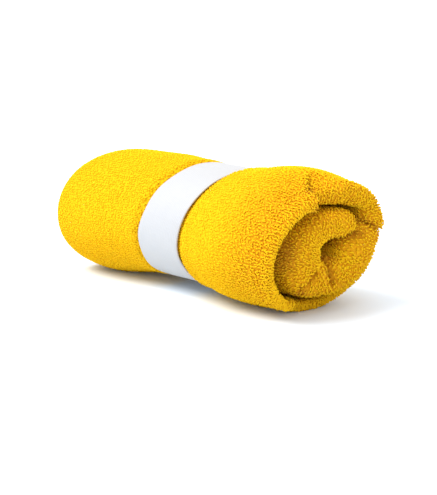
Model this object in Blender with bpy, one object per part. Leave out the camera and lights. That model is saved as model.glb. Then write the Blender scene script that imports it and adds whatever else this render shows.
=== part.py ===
"""Small terry towel, folded into a thick pack, rolled up and held by an elastic band.

Metres, +Z up. The roll lies along X: the folded rims of the pack face +X and its hemmed
edges face -X. The origin is under the middle of the roll, on the surface it lies on.

The roll is drawn as one section, in a plane across it, that is carried along X. The
section's middle line runs from the pack's inner tip, round the small hollow in the
middle, and then once round the outside. The roll's width, height and lean change along
X, and place() turns a point of the section into a point of the roll.
"""

import math

import bpy
import numpy as np

MM = 0.001
CLEARANCE = 0.3 * MM  # between pieces that touch
TURN_GAP = 0.5 * MM  # between one turn of the roll and the next

# The rolled towel
ROLL_LENGTH = 148 * MM
ROLL_HALF_WIDTH = 38 * MM
ROLL_HALF_HEIGHT = 32 * MM
RIM_DEPTH = 9 * MM  # how far the folded rims bulge out of the roll's near end
CORE_PLIES = 6
WRAP_PLIES = 2

# The roll along its length, far end first: place from the middle as a share of half the
# length, then width and height as shares of the half sizes, then the height of the axis.
PROFILE = (
    (-1.00, 0.780, 0.780, 28.8 * MM),
    (-0.93, 0.865, 0.865, 28.6 * MM),
    (-0.82, 0.930, 0.930, 28.9 * MM),
    (-0.65, 0.950, 0.947, 29.4 * MM),
    (-0.44, 0.925, 0.920, 30.6 * MM),
    (-0.26, 0.895, 0.890, 31.4 * MM),
    (0.27, 0.925, 0.935, 31.4 * MM),
    (0.45, 1.005, 1.003, 31.7 * MM),
    (0.63, 1.035, 1.025, 31.9 * MM),
    (0.81, 1.000, 0.990, 30.9 * MM),
    (1.00, 0.975, 0.965, 30.3 * MM),
)
# How far the cross planes lean along X for each metre to the side and each metre up,
# at the far end, under the band and at the near end.
LEAN_PLACES = (-0.90, 0.0, 0.88)
LEAN_SIDE = (0.182, 0.142, 0.133)
LEAN_UP = (0.021, 0.210, 0.237)

# The core of the pack, inner tip first: across and up from the axis, and half the
# thickness, all in millimetres on a section with the reference half sizes.
REFERENCE_HALF_WIDTH = 38.0
REFERENCE_HALF_HEIGHT = 32.0
CORE_PATH = (
    (11.0, 9.7, 5.4),
    (6.5, 10.7, 6.8),
    (0.0, 11.3, 7.1),
    (-8.8, 9.8, 8.4),
    (-15.4, 4.8, 10.6),
    (-17.0, -3.2, 11.0),
    (-12.0, -11.4, 10.5),
    (-2.5, -14.2, 9.9),
    (7.5, -13.8, 10.4),
    (14.4, -9.8, 11.0),
    (18.4, -3.0, 10.6),
    (21.8, 4.2, 8.8),
    (24.2, 11.4, 6.6),
)
# The outer turn: angle in degrees from +Y, half the thickness, how far its rim stands
# out of the near end, and how far it lies inside the oval of the half sizes.
WRAP_PATH = (
    (46, 5.6, -3.0, 0.0),
    (68, 6.2, -3.0, 0.0),
    (90, 6.3, -2.5, 0.0),
    (112, 5.6, 0.5, 0.0),
    (135, 4.7, 1.5, 0.0),
    (158, 4.3, 2.0, 0.0),
    (180, 4.2, 2.0, 0.0),
    (202, 4.1, 1.5, 0.0),
    (225, 4.0, 0.5, 0.0),
    (247, 3.7, -4.0, 0.0),
    (270, 3.3, -6.0, 0.0),
    (294, 3.2, -7.0, 0.0),
    (320, 3.3, -7.0, 0.0),
    (338, 3.3, -6.5, 0.8),
    (352, 3.2, -6.0, 1.8),
)
CORE_RIM = 1.0 * MM  # how far the core's rim stands out of the near end
STEPS_PER_SPAN = 3

# The elastic band, woven tape lapped and sewn into a ring
BAND_WIDTH = 26 * MM
BAND_THICKNESS = 1.2 * MM
BAND_CENTRE_X = 1.0 * MM
BAND_HALF_WIDTH = 33.2 * MM  # outside of the ring
BAND_HALF_HEIGHT = 27.9 * MM
BAND_CENTRE_Z = 31.1 * MM
BAND_ANGLES = 96
LAP_ANGLE = 336  # degrees from +Y to the middle of the lap
LAP_SPAN = 40  # degrees
GROOVE_SLOPE = 4.0 * MM  # length over which the towel rises beside the band

# Overlock thread along the four sides of the towel, and the band's stitching
HEM_DEPTH = 2.4 * MM
HEM_THICKNESS = 1.5 * MM
STITCH_THREAD = 0.6 * MM
STITCH_PITCH = 2.6 * MM
STITCH_LEG = 2.4 * MM

YELLOW = (0.973, 0.610, 0.004)
HEM_YELLOW = (0.913, 0.515, 0.004)
BAND_WHITE = (0.860, 0.875, 0.920)
THREAD_WHITE = (0.900, 0.900, 0.900)

HALF_LENGTH = ROLL_LENGTH / 2


def spline(points, steps):
    """Points along the smooth curve through the rows of points, steps to each span."""
    rows = np.asarray(points, float)
    ends = np.vstack([2 * rows[0] - rows[1], rows, 2 * rows[-1] - rows[-2]])
    out = []
    for a, b, c, d in zip(ends, ends[1:], ends[2:], ends[3:]):
        for t in np.arange(steps) / steps:
            bend = (2 * a - 5 * b + 4 * c - d) * t**2 + (3 * b - 3 * c + d - a) * t**3
            out.append((2 * b + (c - a) * t + bend) / 2)
    return np.array(out + [rows[-1]])


def smooth_table(x, places, values):
    """Values read at x from a smooth curve through a table."""
    table = spline(np.column_stack([places, values]), 8)
    return np.interp(x, table[:, 0], table[:, 1])


def place(across, up, along):
    """A point of the section, from the axis, as a point of the roll."""
    across, up, along = np.broadcast_arrays(across, up, along)
    share = along / HALF_LENGTH
    rows = np.array(PROFILE)
    width = smooth_table(share, rows[:, 0], rows[:, 1])
    height = smooth_table(share, rows[:, 0], rows[:, 2])
    axis_z = smooth_table(share, rows[:, 0], rows[:, 3])
    # Under the band the towel is pressed down to the ring's inside.
    inside = BAND_THICKNESS + CLEARANCE
    pressed_width = (BAND_HALF_WIDTH - inside) / ROLL_HALF_WIDTH
    pressed_height = (BAND_HALF_HEIGHT - inside) / ROLL_HALF_HEIGHT
    from_band = np.abs(along - BAND_CENTRE_X) - BAND_WIDTH / 2 - CLEARANCE
    free = np.clip(from_band / GROOVE_SLOPE, 0, 1)
    width = np.minimum(pressed_width + (width - pressed_width) * free, width)
    height = np.minimum(pressed_height + (height - pressed_height) * free, height)
    axis_z = BAND_CENTRE_Z + (axis_z - BAND_CENTRE_Z) * free
    side, rise = across * width, up * height
    lean_side = np.interp(share, LEAN_PLACES, LEAN_SIDE)
    lean_up = np.interp(share, LEAN_PLACES, LEAN_UP)
    x = along + lean_side * side + lean_up * rise
    return np.stack([x, side, np.maximum(axis_z + rise, 0)], axis=-1)


def section_line():
    """The pack's middle line: place, outward normal, half thickness, rim, core share."""
    scale_y = ROLL_HALF_WIDTH / REFERENCE_HALF_WIDTH
    scale_z = ROLL_HALF_HEIGHT / REFERENCE_HALF_HEIGHT
    thin = min(scale_y, scale_z)
    rows = [(y * scale_y, z * scale_z, h * thin, CORE_RIM, 1) for y, z, h in CORE_PATH]
    for angle, half, rim, inset in WRAP_PATH:
        turn = math.radians(angle)
        y = (ROLL_HALF_WIDTH - (half + inset) * thin) * math.cos(turn)
        z = (ROLL_HALF_HEIGHT - (half + inset) * thin) * math.sin(turn)
        rows.append((y, z, half * thin, rim * MM, 0))
    line = spline(rows, STEPS_PER_SPAN)
    ahead = np.gradient(line[:, :2], axis=0)
    ahead /= np.linalg.norm(ahead, axis=1, keepdims=True)
    outward = np.column_stack([ahead[:, 1], -ahead[:, 0]])
    half = line[:, 2] - TURN_GAP / 2
    return line[:, :2], outward, half, line[:, 3], np.clip(line[:, 4], 0, 1)


def new_object(name, points, faces, colour, roughness):
    """A closed mesh object with its own material."""
    mesh = bpy.data.meshes.new(name)
    mesh.from_pydata(np.asarray(points).tolist(), [], faces)
    mesh.validate()
    obj = bpy.data.objects.new(name, mesh)
    bpy.context.scene.collection.objects.link(obj)
    material = bpy.data.materials.new(name)
    material.use_nodes = True
    shader = material.node_tree.nodes["Principled BSDF"]
    shader.inputs["Base Color"].default_value = (*colour, 1)
    shader.inputs["Roughness"].default_value = roughness
    shader.inputs["Metallic"].default_value = 0
    mesh.materials.append(material)
    mesh.shade_smooth()
    mesh.set_sharp_from_angle(angle=math.radians(40))
    return obj


def swept(name, rings, colour, closed=False):
    """A solid through rings of points, an array of rings by points by 3."""
    count, sides = rings.shape[:2]
    faces = []
    for i in range(count if closed else count - 1):
        here, there = i * sides, (i + 1) % count * sides
        for j in range(sides):
            k = (j + 1) % sides
            faces.append((here + j, here + k, there + k, there + j))
    if not closed:
        faces.append(tuple(range(sides))[::-1])
        faces.append(tuple(range((count - 1) * sides, count * sides)))
    obj = new_object(name, rings.reshape(-1, 3), faces, colour, 0.9)
    face_out(obj)
    return obj


def face_out(obj):
    """Turns the faces of a closed mesh outwards."""
    mesh = obj.data
    volume = 0.0
    for face in mesh.polygons:
        corners = [mesh.vertices[i].co for i in face.vertices]
        for b, c in zip(corners[1:], corners[2:]):
            volume += corners[0].dot(b.cross(c))
    if volume < 0:
        mesh.flip_normals()


def stations():
    """Places along the roll, from the towel's hemmed end to the start of its rim."""
    band_edge = BAND_WIDTH / 2 + CLEARANCE
    near_rim = HALF_LENGTH - RIM_DEPTH
    far_bulge = HALF_LENGTH * np.array((-0.93, -0.82, -0.66, -0.46, -0.32))
    near_bulge = near_rim * np.array((0.42, 0.55, 0.7, 0.85, 1.0))
    beside = [band_edge + GROOVE_SLOPE, band_edge + GROOVE_SLOPE / 2, band_edge]
    groove = BAND_CENTRE_X + np.array([-d for d in beside] + beside[::-1])
    hemmed_end = -HALF_LENGTH + HEM_DEPTH + CLEARANCE
    return np.concatenate([[hemmed_end], far_bulge, groove, near_bulge])


def rim_shift(along, rim):
    """The roll's near end leaves its even length by rim, eased in along the bulge."""
    start, end = HALF_LENGTH * 0.4, HALF_LENGTH - RIM_DEPTH
    return along + rim * np.clip((along - start) / (end - start), 0, 1)


def build_towel():
    """The cloth: the pack's section carried along X, with a round folded rim at +X."""
    centre, outward, half, rim, _ = section_line()
    straight = stations()
    around = np.radians((-60, -30, 0, 30, 60))
    along = np.concatenate(
        [straight, straight[-1] + RIM_DEPTH * np.cos(around), straight[::-1]]
    )
    offset = np.concatenate(
        [-np.ones(len(straight)), np.sin(around), np.ones(len(straight))]
    )
    section = centre[:, None] + outward[:, None] * (half[:, None] * offset)[..., None]
    x = rim_shift(along[None], rim[:, None])
    points = place(section[..., 0], section[..., 1], x)
    count, sides = points.shape[:2]
    faces = []
    for i in range(count - 1):
        for j in range(sides):
            k = (j + 1) % sides
            faces.append(
                (i * sides + j, i * sides + k, (i + 1) * sides + k, (i + 1) * sides + j)
            )
    for base in (0, (count - 1) * sides):
        cap = []
        for j in range(sides // 2):
            low, high = j, sides - 1 - j
            if high - low > 2:
                cap.append((low, low + 1, high - 1, high))
            else:
                cap.append((low, low + 1, high))
        for face in cap:
            turned = face[::-1] if base == 0 else face
            faces.append(tuple(base + index for index in turned))
    towel = new_object("towel", points.reshape(-1, 3), faces, YELLOW, 0.95)
    face_out(towel)
    return towel


def strand(path, side):
    """Rings of a flat bar along a path in the section, at the far end."""
    ahead = np.gradient(path, axis=0)
    ahead /= np.linalg.norm(ahead, axis=1, keepdims=True)
    across = np.column_stack([ahead[:, 1], -ahead[:, 0]]) * HEM_THICKNESS / 2
    far = -HALF_LENGTH
    near = far + HEM_DEPTH
    corners = [
        (path - across, far),
        (path + across, far),
        (path + across, near),
        (path - across, near),
    ]
    rings = np.stack([place(p[:, 0], p[:, 1], x) for p, x in corners], axis=1)
    return rings[:, ::side]


def turn_over(start, end, bulge, steps=6):
    """A half turn between two points, bulging along a direction."""
    middle, arm = (start + end) / 2, (start - end) / 2
    angles = np.linspace(0, math.pi, steps + 1)[1:-1, None]
    return middle + arm * np.cos(angles) + bulge * np.sin(angles)


def build_long_hem(name, side):
    """The overlock thread of one long side: once round in the outer turn, then three
    layers back and forth in the core. side is +1 outside the middle line, -1 inside."""
    centre, outward, half, _, core = section_line()
    is_core = core > 0.5
    pitch = 2 * half / CORE_PLIES
    inset = 3  # points left free at the tip, for the short hem and the turns
    first_core = np.flatnonzero(is_core)[inset:]
    wrap = np.flatnonzero(~is_core)
    lanes = []
    for lane in (2.5, 1.5, 0.5):
        shift = side * pitch[first_core] * lane
        lanes.append(centre[first_core] + outward[first_core] * shift[:, None])
    shift = side * half[wrap] / WRAP_PLIES
    outer = centre[wrap] + outward[wrap] * shift[:, None]
    tip_ahead = centre[first_core[0]] - centre[first_core[0] + 1]
    tip_ahead *= pitch[first_core[0]] / 2 / np.linalg.norm(tip_ahead)
    root_ahead = centre[first_core[-1]] - centre[first_core[-1] - 1]
    root_ahead *= pitch[first_core[-1]] / 2 / np.linalg.norm(root_ahead)
    path = np.vstack(
        [
            outer[1:][::-1],
            lanes[0][::-1],
            turn_over(lanes[0][0], lanes[1][0], tip_ahead),
            lanes[1][:-2],
            turn_over(lanes[1][-3], lanes[2][-3], root_ahead),
            lanes[2][:-2][::-1],
        ]
    )
    return swept(name, strand(path, side), HEM_YELLOW)


def build_outer_hem():
    """The overlock thread of the outer short side, up one ply and back down the other."""
    centre, outward, half, rim, _ = section_line()
    ahead = centre[-1] - centre[-2]
    ahead /= np.linalg.norm(ahead)
    start = centre[-1] + ahead * CLEARANCE
    reach = half[-1] - HEM_THICKNESS / 2
    run = stations()
    near = run[-1]
    turn = np.radians(np.arange(-60, 61, 30))
    offset = np.concatenate([-np.ones(len(run)), np.sin(turn), np.ones(len(run))])
    along = np.concatenate([run, near + reach * np.cos(turn), run[::-1]])
    along = rim_shift(along, rim[-1])
    ahead_path = np.gradient(np.column_stack([offset * reach, along]), axis=0)
    ahead_path /= np.linalg.norm(ahead_path, axis=1, keepdims=True)
    rings = []
    for side, deep in ((-1, 0), (1, 0), (1, 1), (-1, 1)):
        n = offset * reach + side * HEM_THICKNESS / 2 * ahead_path[:, 1]
        x = along - side * HEM_THICKNESS / 2 * ahead_path[:, 0]
        flat = start + outward[-1] * n[:, None] + ahead * HEM_DEPTH * deep
        rings.append(place(flat[:, 0], flat[:, 1], x))
    return swept("hem_outer_short_side", np.stack(rings, axis=1), HEM_YELLOW)


def build_inner_hem():
    """The overlock thread of the inner short side, down the middle of the pack's tip."""
    centre, outward, half, rim, _ = section_line()
    ahead = centre[0] - centre[1]
    ahead /= np.linalg.norm(ahead)
    start = centre[0] + ahead * CLEARANCE
    reach = half[0] / CORE_PLIES
    run = rim_shift(stations(), rim[0])
    rings = []
    for side, deep in ((-1, 0), (1, 0), (1, 1), (-1, 1)):
        flat = start + outward[0] * side * reach + ahead * HEM_DEPTH * deep
        rings.append(place(flat[0], flat[1], run))
    return swept("hem_inner_short_side", np.stack(rings, axis=1), HEM_YELLOW)


def band_point(angle, depth, across):
    """A point of the band: angle in radians, depth below its outside, place across."""
    slack = math.radians(LAP_SPAN / 2) - np.abs(angle - math.radians(LAP_ANGLE))
    lifted = np.clip(slack / math.radians(4), 0, 1) * (depth <= 0)
    grow = BAND_THICKNESS * lifted - depth
    side = (BAND_HALF_WIDTH + grow) * np.cos(angle)
    rise = (BAND_HALF_HEIGHT + grow) * np.sin(angle)
    share = BAND_CENTRE_X / HALF_LENGTH
    lean_side = np.interp(share, LEAN_PLACES, LEAN_SIDE)
    lean_up = np.interp(share, LEAN_PLACES, LEAN_UP)
    x = BAND_CENTRE_X + across + lean_side * side + lean_up * rise
    return np.stack([x, side, BAND_CENTRE_Z + rise], axis=-1)


def build_band():
    """The elastic tape as a ring, with its two ends lapped over each other."""
    angles = np.radians(LAP_ANGLE - 180 + 360 * np.arange(BAND_ANGLES) / BAND_ANGLES)
    edge = BAND_WIDTH / 2
    soft = BAND_THICKNESS / 4
    outline = (
        (0, -edge + soft),
        (0, edge - soft),
        (BAND_THICKNESS / 2, edge),
        (BAND_THICKNESS, edge - soft),
        (BAND_THICKNESS, -edge + soft),
        (BAND_THICKNESS / 2, -edge),
    )
    rings = np.stack([band_point(angles, d, a + 0 * angles) for d, a in outline], axis=1)
    return swept("elastic_band", rings, BAND_WHITE, closed=True)


def build_stitch_row(name, angle):
    """One zigzag row of stitching across the band's lap."""
    count = int((BAND_WIDTH - 2 * STITCH_PITCH) / (STITCH_PITCH / 2))
    steps = np.arange(count + 1)
    across = (steps - count / 2) * STITCH_PITCH / 2
    leg = STITCH_LEG / 2 / BAND_HALF_WIDTH
    angles = math.radians(angle) + leg * (-1.0) ** steps
    thread = STITCH_THREAD / 2
    # The rings stand across the band, so the slanting thread is cut wider there.
    slant = math.hypot(STITCH_LEG, STITCH_PITCH / 2) / (STITCH_PITCH / 2)
    wide = thread * slant / BAND_HALF_WIDTH
    lift = -CLEARANCE - thread
    rings = []
    for side, deep in ((-1, -1), (1, -1), (1, 1), (-1, 1)):
        rings.append(band_point(angles + side * wide, lift - deep * thread, across))
    return swept(name, np.stack(rings, axis=1), THREAD_WHITE)


def clear_scene():
    for obj in list(bpy.data.objects):
        bpy.data.objects.remove(obj, do_unlink=True)


def centre_on_origin(objects):
    """Moves every mesh so that the whole roll stands centred over the origin."""
    corners = [np.array(vertex.co) for obj in objects for vertex in obj.data.vertices]
    corners = np.array(corners)
    middle = (corners.max(axis=0) + corners.min(axis=0)) / 2
    for obj in objects:
        for vertex in obj.data.vertices:
            vertex.co.x -= middle[0]
            vertex.co.y -= middle[1]


def main():
    clear_scene()
    lap_shift = LAP_SPAN / 2 - 8
    centre_on_origin(
        [
            build_towel(),
            build_long_hem("hem_long_side_a", 1),
            build_long_hem("hem_long_side_b", -1),
            build_outer_hem(),
            build_inner_hem(),
            build_band(),
            build_stitch_row("band_stitch_row_a", LAP_ANGLE - lap_shift),
            build_stitch_row("band_stitch_row_b", LAP_ANGLE + lap_shift),
        ]
    )


main()
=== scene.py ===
"""Looks of a small terry towel, folded into a thick pack, rolled up and held by a band.

Metres, +Z up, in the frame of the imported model. The cloth is one folded sheet: its
outer turn is the sheet doubled, and its core is three doubled layers, all closed by
round folds at the near end (+X) and hemmed at the far end (-X). Its pile is made of
yarn loops.
"""

from __future__ import annotations

import logging
import math
from dataclasses import dataclass, field
from enum import Enum, auto

import bpy
import numpy as np
from mathutils import Euler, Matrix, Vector

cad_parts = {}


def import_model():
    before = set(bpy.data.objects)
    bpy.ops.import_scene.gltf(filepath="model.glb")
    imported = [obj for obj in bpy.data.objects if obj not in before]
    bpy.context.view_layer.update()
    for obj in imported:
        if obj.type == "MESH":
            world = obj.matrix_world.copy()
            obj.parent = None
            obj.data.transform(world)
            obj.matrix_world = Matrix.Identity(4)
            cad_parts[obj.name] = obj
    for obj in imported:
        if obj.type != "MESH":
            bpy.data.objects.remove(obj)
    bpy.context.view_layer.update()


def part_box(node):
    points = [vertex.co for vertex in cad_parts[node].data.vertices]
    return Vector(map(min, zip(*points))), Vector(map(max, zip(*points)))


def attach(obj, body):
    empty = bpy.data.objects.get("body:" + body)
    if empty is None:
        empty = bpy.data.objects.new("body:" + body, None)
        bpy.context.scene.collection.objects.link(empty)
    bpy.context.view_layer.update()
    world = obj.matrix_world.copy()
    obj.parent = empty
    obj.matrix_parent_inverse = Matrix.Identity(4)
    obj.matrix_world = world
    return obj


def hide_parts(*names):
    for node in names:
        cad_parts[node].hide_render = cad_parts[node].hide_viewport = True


LOG = logging.getLogger("rolled_towel")
MM = 0.001
FLOOR_GAP = 0.05 * MM
PINCH = 0.02  # share of a thread's radius that is left at its ends
Array = np.ndarray
Colour = tuple[float, float, float]


# ---------------------------------------------------------------- shader expressions


class Signal:
    """A number that varies over a surface, with Python's operators as Math nodes."""

    def __init__(self, graph: Graph, socket: bpy.types.NodeSocket) -> None:
        """Wrap an output socket of a node in graph."""
        self.graph = graph
        self.socket = socket

    def _math(self, operation: str, first: object, second: object) -> Signal:
        """Add a Math node.

        Args:
            operation: Blender's name of the operation.
            first: A Signal or a number.
            second: A Signal or a number.

        Returns:
            The node's value.
        """
        return self.graph.node(
            "ShaderNodeMath", {"operation": operation}, {0: first, 1: second}
        )

    def __add__(self, other: object) -> Signal:
        """Sum."""
        return self._math("ADD", self, other)

    def __radd__(self, other: object) -> Signal:
        """Sum with a number on the left."""
        return self._math("ADD", other, self)

    def __sub__(self, other: object) -> Signal:
        """Difference."""
        return self._math("SUBTRACT", self, other)

    def __rsub__(self, other: object) -> Signal:
        """Difference from a number."""
        return self._math("SUBTRACT", other, self)

    def __mul__(self, other: object) -> Signal:
        """Product."""
        return self._math("MULTIPLY", self, other)

    def __rmul__(self, other: object) -> Signal:
        """Product with a number on the left."""
        return self._math("MULTIPLY", other, self)

    def floor(self) -> Signal:
        """Largest whole number that isn't over the value."""
        return self._math("FLOOR", self, 0.0)

    def sine(self) -> Signal:
        """Sine of the value, in radians."""
        return self._math("SINE", self, 0.0)

    def within(self) -> Signal:
        """The value, held between 0 and 1."""
        return self._math("MAXIMUM", self._math("MINIMUM", self, 1.0), 0.0)


class Graph:
    """The node tree of one material."""

    def __init__(self, name: str) -> None:
        """Start a material that has an empty tree."""
        self.material = bpy.data.materials.new(name)
        self.material.use_nodes = True
        self.tree = self.material.node_tree
        self.tree.nodes.clear()

    def node(
        self,
        kind: str,
        settings: dict[str, object] | None = None,
        inputs: dict[int | str, object] | None = None,
        output: int | str = 0,
    ) -> Signal:
        """Add a node.

        Args:
            kind: Blender's node type.
            settings: Properties of the node, which are set first.
            inputs: Values or Signals by socket index or name.
            output: The output socket to return.

        Returns:
            The chosen output.
        """
        made = self.tree.nodes.new(kind)
        for key, value in (settings or {}).items():
            setattr(made, key, value)
        for key, value in (inputs or {}).items():
            self._set_input(made.inputs[key], value)
        return Signal(self, made.outputs[output])

    def _set_input(self, socket: bpy.types.NodeSocket, value: object) -> None:
        """Link a Signal to a socket, or set the socket's own value."""
        if isinstance(value, Signal):
            self.tree.links.new(value.socket, socket)
        elif isinstance(value, tuple) and len(value) == 3 and socket.type == "RGBA":
            socket.default_value = (*value, 1.0)
        else:
            socket.default_value = value

    def place(self) -> Signal:
        """The piece's own Object coordinates."""
        return self.node("ShaderNodeTexCoord", output="Object")

    def split(self, vector: Signal) -> tuple[Signal, Signal, Signal]:
        """The three parts of a vector."""
        parts = self.node("ShaderNodeSeparateXYZ", inputs={0: vector}).socket.node
        return tuple(Signal(self, socket) for socket in parts.outputs)

    def attribute(self, name: str) -> Signal:
        """A number stored on the mesh."""
        return self.node("ShaderNodeAttribute", {"attribute_name": name}, output="Fac")

    def noise(self, where: Signal, scale: float, detail: float = 2.0) -> Signal:
        """Smooth noise, about 0.5 on average, with scale features to each metre."""
        return self.node(
            "ShaderNodeTexNoise",
            inputs={"Vector": where, "Scale": scale, "Detail": detail},
        )

    def mix(self, share: object, first: object, second: object) -> Signal:
        """Mix two colours: first where share is 0, second where it is 1."""
        return self.node(
            "ShaderNodeMix",
            {"data_type": "RGBA"},
            {"Factor": share, 6: first, 7: second},
            output=2,
        )

    def bump(self, height: Signal, strength: float, distance: float) -> Signal:
        """A normal from a height."""
        return self.node(
            "ShaderNodeBump",
            inputs={"Height": height, "Strength": strength, "Distance": distance},
            output="Normal",
        )

    def finish(self, inputs: dict[int | str, object]) -> bpy.types.Material:
        """Add the Principled shader with its inputs, and return the material."""
        shader = self.node("ShaderNodeBsdfPrincipled", inputs=inputs)
        surface = self.tree.nodes.new("ShaderNodeOutputMaterial").inputs["Surface"]
        self._set_input(surface, shader)
        return self.material


# ---------------------------------------------------------------- finishes


@dataclass(frozen=True)
class TerryGround:
    """The knitted ground of the terry, seen between its loops."""

    # Painted shade between the loops, mixed in most round the mouth of the roll.
    deep: Colour = (0.62, 0.24, 0.007)
    light: Colour = (0.82, 0.47, 0.006)
    glow: Colour = (1.0, 0.66, 0.02)
    roughness: float = 0.95
    # Painted shade in the creases.
    fold: Colour = (0.36, 0.11, 0.012)
    mouth_start: float = 30 * MM
    mouth_span: float = 32 * MM
    drift_scale: float = 60.0
    stitch_scale: float = 1100.0
    fuzz_scale: float = 2600.0

    def material(self) -> bpy.types.Material:
        """Build the material: small knit stitches, colour that drifts over the cloth,
        and
        painted shade: the deep colour darkens the ground between the loops, less so
        where the pile is closed, and the fold colour darkens it in the creases."""
        graph = Graph("terry_ground")
        where = graph.place()
        drift = graph.noise(where, self.drift_scale)
        stitches = graph.node(
            "ShaderNodeTexVoronoi", inputs={"Vector": where, "Scale": self.stitch_scale}
        )
        fuzz = graph.noise(where, self.fuzz_scale, 1.0)
        height = 0.8 - stitches * 0.9 + fuzz * 0.4
        x, _, _ = graph.split(where)
        loose = (x - self.mouth_start) * (1 / self.mouth_span)
        closed = 1 - loose.within()
        # Painted shade between the loops: the deep colour, taken back where the pile is
        # closed.
        share = drift * 0.25 + height * 0.35 + closed * 0.7
        colour = graph.mix(share, self.deep, self.light)
        # Painted shade in the creases.
        colour = graph.mix(graph.attribute("painted_crease_shade"), colour, self.fold)
        return graph.finish(
            {
                "Base Color": colour,
                "Roughness": self.roughness,
                "Sheen Weight": 0.2,
                "Sheen Roughness": 0.5,
                "Sheen Tint": (*self.glow, 1.0),
                "Specular IOR Level": 0.06,
                "Normal": graph.bump(height, 1.0, 0.5 * MM),
            }
        )


@dataclass(frozen=True)
class TerryYarn:
    """The yarn of the loops: microfibre and dull, with painted shade that darkens it
    towards the root of each loop.
    """

    # Painted shade at the foot of each loop, between the loops.
    root: Colour = (0.68, 0.29, 0.008)
    tip: Colour = (0.84, 0.515, 0.006)
    glow: Colour = (1.0, 0.66, 0.02)
    # Painted shade in the creases.
    fold: Colour = (0.42, 0.14, 0.014)
    roughness: float = 0.9
    drift_scale: float = 45.0
    fibre_scale: float = 5200.0

    def material(self) -> bpy.types.Material:
        """Build the material: painted shade from the root colour to the tip colour,
        drift over the cloth, fine fibres, and painted shade in the creases."""
        graph = Graph("terry_yarn")
        where = graph.place()
        height = graph.attribute("loop_height")
        drift = graph.noise(where, self.drift_scale)
        fibres = graph.noise(where, self.fibre_scale, 1.0)
        share = height * 0.75 + drift * 0.3 + fibres * 0.1 - 0.05
        colour = graph.mix(share, self.root, self.tip)
        # Painted shade in the creases, by the stored share.
        painted_crease_shade = graph.attribute("painted_crease_shade")
        return graph.finish(
            {
                "Base Color": graph.mix(painted_crease_shade * 0.85, colour, self.fold),
                "Roughness": self.roughness,
                "Sheen Weight": 0.2,
                "Sheen Roughness": 0.45,
                "Sheen Tint": (*self.glow, 1.0),
                "Specular IOR Level": 0.06,
                "Normal": graph.bump(fibres, 0.5, 0.1 * MM),
            }
        )


@dataclass(frozen=True)
class SewingThread:
    """Spun sewing thread."""

    name: str
    colour: Colour
    roughness: float = 0.6
    twist_scale: float = 3800.0
    shade: float = 0.72

    def material(self) -> bpy.types.Material:
        """Build the material: the twist of the thread shows as fine dark turns."""
        graph = Graph(self.name)
        twist = graph.noise(graph.place(), self.twist_scale, 1.0)
        dark = tuple(self.shade * part for part in self.colour)
        return graph.finish(
            {
                "Base Color": graph.mix(twist, dark, self.colour),
                "Roughness": self.roughness,
                "Sheen Weight": 0.2,
                "Normal": graph.bump(twist, 0.5, 0.1 * MM),
            }
        )


@dataclass(frozen=True)
class WovenElastic:
    """White woven elastic: ribs along the tape, crossed by a fine weft."""

    light: Colour = (0.455, 0.457, 0.47)
    shade: Colour = (0.385, 0.39, 0.405)
    weft_pitch: float = 0.8 * MM
    rib_pitch: float = 1.05 * MM
    soil_scale: float = 260.0
    roughness: float = 0.55

    def material(self) -> bpy.types.Material:
        """Build the material, which reads the tape's UV map in metres of its length."""
        graph = Graph("woven_elastic")
        weave = graph.node("ShaderNodeUVMap", {"uv_map": "tape"})
        along, across, _ = graph.split(weave)
        rib = across * (1 / self.rib_pitch)
        turn = 2 * math.pi
        weft = (along * (turn / self.weft_pitch) + rib.floor() * math.pi).sine()
        soil = graph.noise(graph.place(), self.soil_scale)
        height = (rib * turn).sine() * -0.22 + weft * 0.25 + soil * 0.3 + 0.42
        return graph.finish(
            {
                "Base Color": graph.mix(height, self.shade, self.light),
                "Roughness": self.roughness,
                "Sheen Weight": 0.25,
                "Specular IOR Level": 0.35,
                "Normal": graph.bump(height, 0.45, 0.15 * MM),
            }
        )


@dataclass(frozen=True)
class PaleFloor:
    """The plain white surface that the roll lies on."""

    colour: Colour = (0.83, 0.91, 1.0)

    def material(self) -> bpy.types.Material:
        """Build the material."""
        graph = Graph("pale_floor")
        return graph.finish({"Base Color": (*self.colour, 1.0), "Roughness": 0.9})


# ---------------------------------------------------------------- mesh helpers


def smooth_curve(rows: Array, steps: int) -> Array:
    """Points on the smooth curve through rows of points.

    Each span is the cubic whose ends have the slope of the line between their
    neighbours (a Catmull-Rom curve).

    Args:
        rows: The points to pass through, one to each row.
        steps: Points to each span.

    Returns:
        The points of the curve, ending with the last row.
    """
    ends = np.vstack([2 * rows[0] - rows[1], rows, 2 * rows[-1] - rows[-2]])
    a, b, c, d = ends[:-3], ends[1:-2], ends[2:-1], ends[3:]
    t = (np.arange(steps) / steps)[:, None, None]
    bend = (2 * a - 5 * b + 4 * c - d) * t**2 + (3 * b - 3 * c + d - a) * t**3
    points = (2 * b + (c - a) * t + bend) / 2
    return np.vstack([points.transpose(1, 0, 2).reshape(-1, rows.shape[1]), rows[-1]])


def ease(share: Array) -> Array:
    """Smooth step: 0 up to 0, 1 from 1 on, and 3t^2 - 2t^3 between them."""
    t = np.clip(share, 0, 1)
    return t * t * (3 - 2 * t)


def plateau(value: Array, low: float, high: float, rise: float, fall: float) -> Array:
    """1 between low and high and 0 outside them, with a smooth step of width rise
    inside low and one of width fall inside high."""
    return ease((value - low) / rise) * ease((high - value) / fall)


def unit(vectors: Array) -> Array:
    """Vectors scaled to length 1 along their last axis."""
    length = np.linalg.norm(vectors, axis=-1, keepdims=True)
    return vectors / np.maximum(length, 1e-12)


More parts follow.
